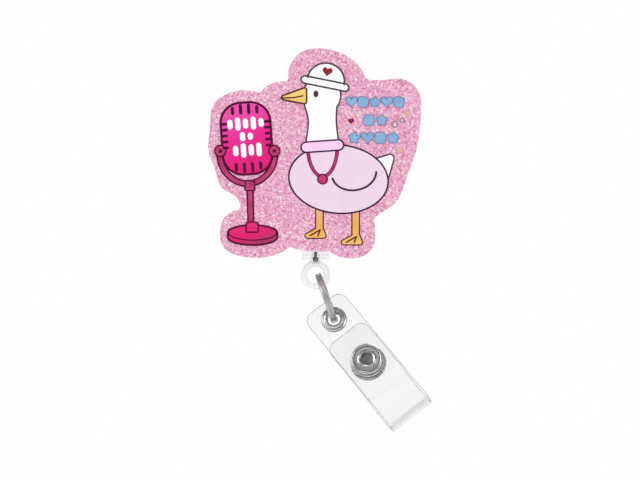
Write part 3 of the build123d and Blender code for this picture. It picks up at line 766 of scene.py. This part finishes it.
# ---------- foam pad, cord and knot
pad_low, pad_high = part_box("adhesive_pad")
PAD_T = (pad_high.y - pad_low.y) * 1000
PAD_R = (pad_high.x - pad_low.x) * 500
pad = turned("foam_pad", FOAM, Vector((REEL.x, pad_low.y, REEL.z)), Y,
             [(0.01, 0), (PAD_R - 0.1, 0), (PAD_R + 0.05, PAD_T * 0.3), (PAD_R + 0.05, PAD_T * 0.7),
              (PAD_R - 0.1, PAD_T), (0.01, PAD_T)], 0.12)
settle(pad, "reel", "foam_pad", "adhesive_pad")

CORD_R = (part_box("cord_lead")[1].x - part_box("cord_lead")[0].x) / 2
drum_low, drum_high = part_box("cord_wound")
WOUND_R = (drum_high.x - drum_low.x) / 2
GROOVE = (drum_high.y - drum_low.y) / 2 - CORD_R
DRUM_R = mm(10.0)
INNER_R = DRUM_R + CORD_R
LAYER_RISE = (WOUND_R - CORD_R - INNER_R) / 2
SETTLE_SHARE = 0.13


def wound_cord():
    """About nine turns, laid side by side across the drum and back over each other."""
    turns, across, steps = 8.7, 4.0, 56
    points = []
    for k in range(int(turns * steps) + 1):
        wound = k / steps
        place = wound % across / across
        layer = int(wound / across)
        sweep = (1 - place if layer % 2 else place) * 2 - 1
        climbed = min(1.0, place / SETTLE_SHARE)
        radius = INNER_R + LAYER_RISE * (layer - 1 + climbed if layer else 0)
        turn = math.tau * wound
        points.append(Vector((REEL.x + radius * math.sin(turn), REEL.y + sweep * GROOVE,
                              REEL.z - radius * math.cos(turn))))
    return tube(points, CORD_R, 8, Y)


def bend(start, corner, end, steps=23):
    """Smooth curve from start to end that leans towards the corner."""
    return [start * (1 - t) ** 2 + corner * 2 * t * (1 - t) + end * t**2 for t in evenly(0, 1, steps)]


settle(piece("cord_turns", *wound_cord(), BRAID), "spool", "cord", "cord_wound")

run_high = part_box("cord_inner_run")[1]
knot_low, knot_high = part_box("cord_knot")
mouth_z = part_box("cord_lead")[1].z
path = bend(Vector((run_high.x - CORD_R, REEL.y, run_high.z - CORD_R)),
            Vector((REEL.x + CORD_R * 0.6, REEL.y, mouth_z + mm(0.7))),
            Vector((REEL.x, REEL.y, mouth_z - mm(0.3))))
settle(piece("cord_run_to_neck", *tube(path, CORD_R, 10, Y), BRAID), "reel", "cord", "cord_inner_run")

lead_foot, wander, steps = knot_high.z - mm(0.2), mm(0.04), 40
path = [Vector((REEL.x + wander * math.sin(k * 0.5), REEL.y, mouth_z + (lead_foot - mouth_z) * k / steps))
        for k in range(steps + 1)]
lead = piece("cord_stub", *tube(path, CORD_R, 12, Y), BRAID)
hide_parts("cord_lead")
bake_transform(lead)


def knot():
    """Overhand knot, pulled tight about a short straight tail."""
    middle, height, strand = (knot_low + knot_high) / 2, knot_high.z - knot_low.z, CORD_R * 0.72
    reach = ((knot_high.x - knot_low.x) / 2 - strand) * 0.8
    points = []
    for t in evenly(0, math.tau, 72)[:-1]:
        points.append(middle + Vector((reach * (math.sin(t) + 0.9 * math.sin(2 * t)),
                                       reach * (math.cos(t) - 0.9 * math.cos(2 * t)),
                                       height * 0.24 * -math.sin(3 * t))))
    tail = [middle + Z * height * share for share in evenly(0.5, -0.5, 12)]
    return join([tube(points, strand, 10, None, True), tube(tail, CORD_R, 10, Y)])


settle(piece("cord_end_knot", *knot(), BRAID), "cord_end", "cord", "cord_knot")


# ---------- split ring
RING_R, RING_W, RING_T, RING_GAP = 7.15, 1.3, 0.92, 0.06
RING_ROUND, RING_SHARP = 0.4, 0.06
RING_LEAN, RING_STEP = math.radians(19.2), math.radians(14)


def split_ring():
    """Flat strip in two full turns, stepping from the back coil to the front one, with round outer edges."""
    low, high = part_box("split_ring")
    centre = (low + high) / 2
    down = Vector((math.sin(RING_LEAN), 0, -math.cos(RING_LEAN)))
    along = (-Y).cross(down)
    ahead = along.cross(down)
    middle, half_step = mm(RING_R - RING_W / 2), mm((RING_T + RING_GAP) / 2)
    top = math.pi / 2
    points, sections = [], []
    count = 260
    for k, turn in enumerate(evenly(top + RING_STEP, top + 2 * math.tau - RING_STEP * 0.2, count)):
        stepped = eased(min(1.0, max(0.0, (turn - top - math.tau) / RING_STEP)))
        points.append(centre + (down * math.cos(turn) + ahead * math.sin(turn)) * middle
                      + along * half_step * (2 * stepped - 1))
        share = min(1.0, max(0.0, (k / count - 0.5) / 0.04 + 0.5))
        back = mm(RING_ROUND + (RING_SHARP - RING_ROUND) * share)
        front = mm(RING_SHARP + (RING_ROUND - RING_SHARP) * share)
        corners = [mm(x * RING_T / 2, z * RING_W / 2) for x, z in ((-1, -1), (1, -1), (1, 1), (-1, 1))]
        sections.append([tuple(p) for p in rounded(corners, [back, front, front, back], 5)])
    return tube(points, 0, up=along, section=sections)


settle(piece("split_ring_coils", *split_ring(), RING_STEEL), "split_ring", "ring_steel", "split_ring")

# ---------- strap
# Millimetres. A place called _S is measured down the strap from its top end, and one called _Y is measured
# up from the eyelet's middle.
STRAP_W, STRAP_T = 13.2, 0.6
EYELET_S, SNAP_S, FOLD_S, FLAP_END_S = 5.5, 20.2, 36.75, 9.6
SNAP_Y, FOLD_Y, FLAP_END_Y = EYELET_S - SNAP_S, EYELET_S - FOLD_S, EYELET_S - FLAP_END_S
FOLD_R, FLAP_GAP = 2.75, 3.1
FRONT_Z, BACK_Z = STRAP_T / 2, -STRAP_T / 2
JOIN_Y = FOLD_Y + 3.2
CORNER_R, SOFT_END, EDGE_W = 2.8, 0.2, 0.17
EYELET_HOLE_R, POST_HOLE_R, STUD_HOLE_R = 2.1, 1.75, 1.6
CREASE_ANGLE = 50.0
COLUMNS, FOLD_STEPS, RISE_STEPS, STRAIGHT_STEPS = 16, 36, 24, 16
END_STATIONS = [0, 0.02, 0.06, 0.12, 0.2, 0.3, 0.45, 0.65, 0.9, 1.3, 1.8, 2.4, CORNER_R]


def on_strap(x, y, z):
    """Point of the strap's own frame, in millimetres: across it, up it and out of its front."""
    return EYELET + (STRAP_X * x + STRAP_Y * y + STRAP_Z * z) / 1000


def band_loop(half, thick):
    """Section of the band, half as wide and thick as it: front, one rounded rim, back and the other rim."""
    reach = half - EDGE_W
    across = evenly(-reach, reach, COLUMNS)
    rim = [(half - 0.12, thick), (half - 0.03, thick * 0.62), (half, 0), (half - 0.03, -thick * 0.62),
           (half - 0.12, -thick)]
    return [(x, thick) for x in across] + rim + [(-x, -thick) for x in across] + [(-x, -z) for x, z in rim]


def strap_band(stations, ends):
    """Vinyl band through (y, z) stations; a true end has round corners and a soft edge."""
    stations = [Vector(station) for station in stations]
    lengths = [0.0]
    for a, b in zip(stations, stations[1:]):
        lengths.append(lengths[-1] + (b - a).length)
    verts, faces, marked = [], [], []
    for k, (station, run) in enumerate(zip(stations, directions(stations))):
        normal = Vector((-run.y, run.x))
        inset, thin = 0.0, 0.0
        for is_end, distance in zip(ends, (lengths[k], lengths[-1] - lengths[k])):
            if is_end and distance < CORNER_R:
                inset = CORNER_R - math.sqrt(CORNER_R**2 - (CORNER_R - distance) ** 2)
            if is_end and distance < SOFT_END:
                thin = SOFT_END - math.sqrt(max(0.0, SOFT_END**2 - (SOFT_END - distance) ** 2))
        loop = band_loop(STRAP_W / 2 - inset, STRAP_T / 2 - thin)
        verts += [on_strap(x, *(station + normal * t)) for x, t in loop]
        size = len(loop)
    for k in range(len(stations) - 1):
        a, b = k * size, (k + 1) * size
        from_ends = (lengths[k + 1] - 0.01, lengths[-1] - lengths[k] - 0.01)
        near_end = any(is_end and distance < EDGE_W for is_end, distance in zip(ends, from_ends))
        for j in range(size):
            if near_end or COLUMNS <= j < size // 2 or j >= size // 2 + COLUMNS:
                marked.append(len(faces))
            faces.append((a + j, a + (j + 1) % size, b + (j + 1) % size, b + j))
    for is_end, first in zip(ends, (0, (len(stations) - 1) * size)):
        if is_end:
            marked.append(len(faces))
            faces.append(tuple(range(first, first + size)))
    return verts, faces, marked


def vinyl(name, stations, ends):
    """Band of clear vinyl whose rims and true ends look darker, as cut edges do."""
    verts, faces, marked = strap_band(stations, ends)
    return piece(name, verts, faces, VINYL, CREASE_ANGLE, VINYL_EDGE, marked)


def cut_hole(band, y, z, radius):
    """Cuts a round hole square through the strap."""
    shaft = [mm(0.001, -1.5), mm(radius, -1.5), mm(radius, 1.5), mm(0.001, 1.5)]
    drill = piece("drill", *lathe(shaft, on_strap(0, y, z), STRAP_Z, 48), VINYL)
    cut = band.modifiers.new("hole", "BOOLEAN")
    cut.operation, cut.object, cut.solver = "DIFFERENCE", drill, "EXACT"
    bpy.context.view_layer.objects.active = band
    with bpy.context.temp_override(object=band, active_object=band):
        bpy.ops.object.modifier_apply(modifier="hole")
    bpy.data.objects.remove(drill)


def front_stations():
    """The front leg from its top end down, and the fold round to the foot of the rear leg."""
    straight = [CORNER_R + k for k in range(1, 34)]
    stations = [(EYELET_S - s, 0.0) for s in END_STATIONS + straight + [FOLD_S]]
    for turn in evenly(0, math.pi, FOLD_STEPS)[1:]:
        stations.append((FOLD_Y - FOLD_R * math.sin(turn), -FOLD_R + FOLD_R * math.cos(turn)))
    return stations + [(JOIN_Y, -2 * FOLD_R)]


def rear_stations():
    """The rear leg from the fold up: it closes in on the front leg, then lies along it to its own end."""
    low_y, high_y = JOIN_Y + 1.6, SNAP_Y - 5.4
    stations = [(JOIN_Y, -2 * FOLD_R), (low_y, -2 * FOLD_R)]
    for share in evenly(0, 1, RISE_STEPS)[1:]:
        closed_in = (2 * FOLD_R - FLAP_GAP) * eased(share)
        stations.append((low_y + (high_y - low_y) * share, -2 * FOLD_R + closed_in))
    stations += [(y, -FLAP_GAP) for y in evenly(high_y, FLAP_END_Y - CORNER_R, STRAIGHT_STEPS)[1:-1]]
    return stations + [(FLAP_END_Y - s, -FLAP_GAP) for s in reversed(END_STATIONS)]


front_band = vinyl("strap_front_band", front_stations(), (True, False))
rear_band = vinyl("strap_rear_band", rear_stations(), (False, True))
cut_hole(front_band, 0, 0, EYELET_HOLE_R)
cut_hole(front_band, SNAP_Y, 0, POST_HOLE_R)
cut_hole(rear_band, SNAP_Y, -FLAP_GAP, STUD_HOLE_R)
for band in (front_band, rear_band):
    band.data.shade_smooth()
    band.data.set_sharp_from_angle(angle=math.radians(CREASE_ANGLE))
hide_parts("strap_front_leg", "strap_fold")
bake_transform(front_band)
settle(rear_band, "flap", "clear_vinyl", "strap_rear_leg")


# ---------- eyelet and snap
def fitting(name, body, node, y, outline, painted_shade_radii=()):
    """Turned nickel part square to the strap, from (radius, height, corner radius) points."""
    points, radii = [point[:2] for point in outline], [point[2] for point in outline]
    second = NICKEL_PAINTED_SHADE if painted_shade_radii else None
    made = turned(name, NICKEL, on_strap(0, y, 0), STRAP_Z, points, radii, second, painted_shade_radii)
    return settle(made, body, "nickel", node)


fitting("eyelet_flange", "strap", "eyelet_barrel", 0, [
    (1.75, -1.0, 0.12), (2.6, -1.0, 0.12), (2.6, -0.72, 0.08), (2.1, -0.7, 0.05), (2.1, FRONT_Z, 0.05),
    (3.5, FRONT_Z, 0.1), (3.45, 0.56, 0.15), (3.15, 0.74, 0.2), (2.8, 0.6, 0.12), (2.62, 0.62, 0.08),
    (2.4, 0.84, 0.15), (2.05, 0.84, 0.2), (1.78, 0.55, 0.2)])
fitting("eyelet_back_washer", "strap", "eyelet_washer", 0, [
    (2.12, -0.7, 0.05), (3.5, -0.7, 0.18), (3.5, BACK_Z, 0.1), (2.12, BACK_Z, 0.05)])
# The snap's middle recess and the inner wall of its groove take the darker nickel, a painted shade.
fitting("snap_front", "strap", "snap_post", SNAP_Y, [
    (0.01, BACK_Z, 0), (1.7, BACK_Z, 0.05), (1.7, FRONT_Z, 0.05), (4.35, FRONT_Z, 0.1), (4.35, 0.62, 0.15),
    (4.15, 0.96, 0.2), (3.7, 0.96, 0.2), (3.45, 0.48, 0.1), (2.6, 0.44, 0.08), (2.45, 0.86, 0.12),
    (2.1, 0.9, 0.12), (1.8, 0.8, 0.12), (1.72, 0.12, 0.08), (0.01, 0.1, 0)], painted_shade_radii=((0.0, 1.78), (3.3, 3.62)))
fitting("snap_socket_ring", "strap", "snap_socket", SNAP_Y, [
    (1.9, BACK_Z, 0.05), (1.9, -1.7, 0.15), (3.3, -1.7, 0.1), (3.5, -1.45, 0.1), (4.1, -1.45, 0.2),
    (4.45, -1.15, 0.3), (4.6, -0.7, 0.2), (4.6, BACK_Z, 0.1)])
face = FRONT_Z - FLAP_GAP
fitting("snap_stud_disc", "flap", "snap_stud", SNAP_Y, [
    (0.01, face, 0), (4.2, face, 0.1), (4.2, face + 0.35, 0.15), (3.9, face + 0.6, 0.2),
    (2.0, face + 0.6, 0.2), (1.6, face + 0.9, 0.2), (1.6, face + 1.5, 0.3), (1.3, face + 1.8, 0.3),
    (0.01, face + 1.8, 0)])
back = BACK_Z - FLAP_GAP
inside = back + STRAP_T - 0.01
fitting("snap_back_cap", "flap", "snap_cap", SNAP_Y, [
    (0.01, inside, 0), (1.55, inside, 0.05), (1.55, back, 0.05), (4.95, back, 0.12), (4.95, back - 0.25, 0.3),
    (4.2, back - 0.68, 0.8), (2.4, back - 0.88, 1.2), (0.01, back - 0.9, 0)])


# ---------- clip spring
def torsion_spring():
    """Coil about the hinge pin, with one arm on each jaw."""
    pin = pivot("clip_jaw_open")
    length, wire, turns = mm(5.0), mm(0.27), 7.5
    radius = mm(1.6) - wire
    reach = length / 2 - wire
    arm_steps, steps = 14, int(turns * 28)
    points = [Vector((reach, pin.y - radius, pin.z + rise)) for rise in evenly(mm(6.0), 0, arm_steps)[:-1]]
    for share in evenly(0, 1, steps):
        turn = math.tau * turns * share
        points.append(Vector((reach * (1 - 2 * share), pin.y - radius * math.cos(turn),
                              pin.z - radius * math.sin(turn))))
    foot, arm = points[-1], Vector((0, 0.14, 0.99))
    points += [foot + arm * rise for rise in evenly(0, mm(5.6), arm_steps)[1:]]
    return tube(points, wire, 10, X)


spring = piece("clip_torsion_spring", *torsion_spring(), SPRING_STEEL)
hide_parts("clip_spring")
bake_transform(spring)

# ---------- finishes of the CAD nodes that stay
KEPT = {
    "front_cover": CLEAR_CASE, "rear_cover": CLEAR_CASE, "end_ring": FROSTED, "topper_plate": GLITTER,
    "spool": WHITE_PLASTIC, "spool_cap": WHITE_PLASTIC, "swivel_washer": WHITE_PLASTIC,
    "power_spring": SPRING_STEEL, "clip_base_jaw": CLIP_STEEL, "clip_lever_jaw": CLIP_STEEL,
    "clip_hinge_pin": CLIP_STEEL, "clip_rivet": CLIP_STEEL, "rivet_washer": CLIP_STEEL,
}
for name, material in KEPT.items():
    mesh = frame["nodes"][name].data
    mesh.materials.clear()
    mesh.materials.append(material)

# ---------- floor, light and camera
LENS, SENSOR, SHOWN_HEIGHT, ASPECT = 120.0, 36.0, 0.1296, 640 / 480
FLOOR_R, FLOOR_DROP = 6.0, 0.70
MIRROR_BANDS = ((0.3, 0.85), (0.42, 0.85), (0.48, 0.2), (0.56, 0.3), (0.66, 0.9), (0.85, 0.3))
MIRROR_LOW, MIRROR_HIGH = 0.7, 0.6
scene = bpy.context.scene
scene.view_settings.view_transform = "Standard"


def studio_floor():
    """Pale disc under the reel at full pull, fading into the white of the studio at its rim."""
    floor_z, steps = CAD_BOX[0].z - FLOOR_DROP, 96
    angles = evenly(0, math.tau, steps)[:-1]
    rim = [Vector((FLOOR_R * math.cos(a), FLOOR_R * math.sin(a), floor_z)) for a in angles]
    verts = [Vector((0, 0, floor_z))] + rim
    faces = [(0, k + 1, (k + 1) % steps + 1) for k in range(steps)]
    f = Finish("studio_floor", (246, 246, 246), 0.8)
    f.colour(f.ramp(f.noise(400.0), (0.4, (244, 244, 244)), (0.6, (248, 248, 248))))
    length = f.node("VectorMath", operation="LENGTH")
    f.link(f.place, length.inputs[0])
    fade = f.range(length.outputs["Value"], 0, 1, 2.0, 5.8)
    mix = f.node("MixShader")
    f.link(fade, mix.inputs[0])
    f.link(f.shader.outputs[0], mix.inputs[1])
    f.link(f.node("BsdfTransparent").outputs[0], mix.inputs[2])
    f.link(mix.outputs[0], f.tree.nodes["Material Output"].inputs["Surface"])
    piece("floor", verts, faces, f.material)


def studio_world():
    """White to the eye and through clear plastic, even as a light, and banded where metal mirrors it."""
    world = bpy.data.worlds.new("studio")
    scene.world = world
    world.use_nodes = True
    tree = world.node_tree

    def node(kind, **settings):
        return add_node(tree, kind, **settings)

    ray = node("LightPath")
    seen = node("Math", operation="MAXIMUM")
    tree.links.new(ray.outputs["Is Camera Ray"], seen.inputs[0])
    tree.links.new(ray.outputs["Is Transmission Ray"], seen.inputs[1])
    even, white, room = tree.nodes["Background"], node("Background"), node("Background")
    even.inputs["Color"].default_value, even.inputs["Strength"].default_value = (1, 1, 1, 1), 0.5
    white.inputs["Color"].default_value = (1, 1, 1, 1)
    height = node("SeparateXYZ")
    tree.links.new(node("TexCoord").outputs["Generated"], height.inputs[0])
    spread = node("MapRange")
    spread.inputs["From Min"].default_value = -1
    tree.links.new(height.outputs["Z"], spread.inputs["Value"])
    bands = node("ValToRGB")
    tree.links.new(spread.outputs["Result"], bands.inputs["Fac"])
    elements = bands.color_ramp.elements
    for position, level in MIRROR_BANDS:
        elements.new(position).color = (level, level, level, 1)
    elements[0].color = (MIRROR_LOW, MIRROR_LOW, MIRROR_LOW, 1)
    elements[-1].color = (MIRROR_HIGH, MIRROR_HIGH, MIRROR_HIGH, 1)
    tree.links.new(bands.outputs[0], room.inputs["Color"])
    room.inputs["Strength"].default_value = 1.0
    mirrored, shown = node("MixShader"), node("MixShader")
    for mix, factor, first, second in ((mirrored, ray.outputs["Is Glossy Ray"], even, room),
                                       (shown, seen.outputs[0], mirrored, white)):
        tree.links.new(factor, mix.inputs[0])
        tree.links.new(first.outputs[0], mix.inputs[1])
        tree.links.new(second.outputs[0], mix.inputs[2])
    tree.links.new(shown.outputs[0], tree.nodes["World Output"].inputs["Surface"])


def softbox(name, place, size, share):
    """Square area light aimed at the object, giving a face turned to it that share of full light."""
    data = bpy.data.lights.new(name, "AREA")
    data.shape, data.size = "SQUARE", size
    place = Vector(place)
    data.energy = share * math.pi**2 * place.length_squared
    light = bpy.data.objects.new(name, data)
    light.location = place
    light.rotation_mode = "QUATERNION"
    light.rotation_quaternion = place.to_track_quat("Z", "Y")
    scene.collection.objects.link(light)


studio_floor()
studio_world()
softbox("key", (-0.95, -0.75, 0.55), 0.7, 0.46)
softbox("fill", (0.8, -0.7, 0.15), 0.6, 0.21)
softbox("back", (0.35, 0.95, 0.5), 0.6, 0.45)
overhead = bpy.data.objects.new("overhead", bpy.data.lights.new("overhead", "SUN"))
overhead.data.energy, overhead.data.angle = 1.2, math.radians(30)
scene.collection.objects.link(overhead)

camera = bpy.data.objects.new("camera", bpy.data.cameras.new("camera"))
camera.data.lens, camera.data.sensor_width = LENS, SENSOR
distance = SHOWN_HEIGHT * ASPECT * LENS / SENSOR
camera.location = (mm(1.215), FACE_Y - distance, mm(0.36))
camera.rotation_euler = (math.radians(90), 0, 0)
camera.data.clip_start, camera.data.clip_end = 0.01, 50
scene.collection.objects.link(camera)
scene.camera = camera
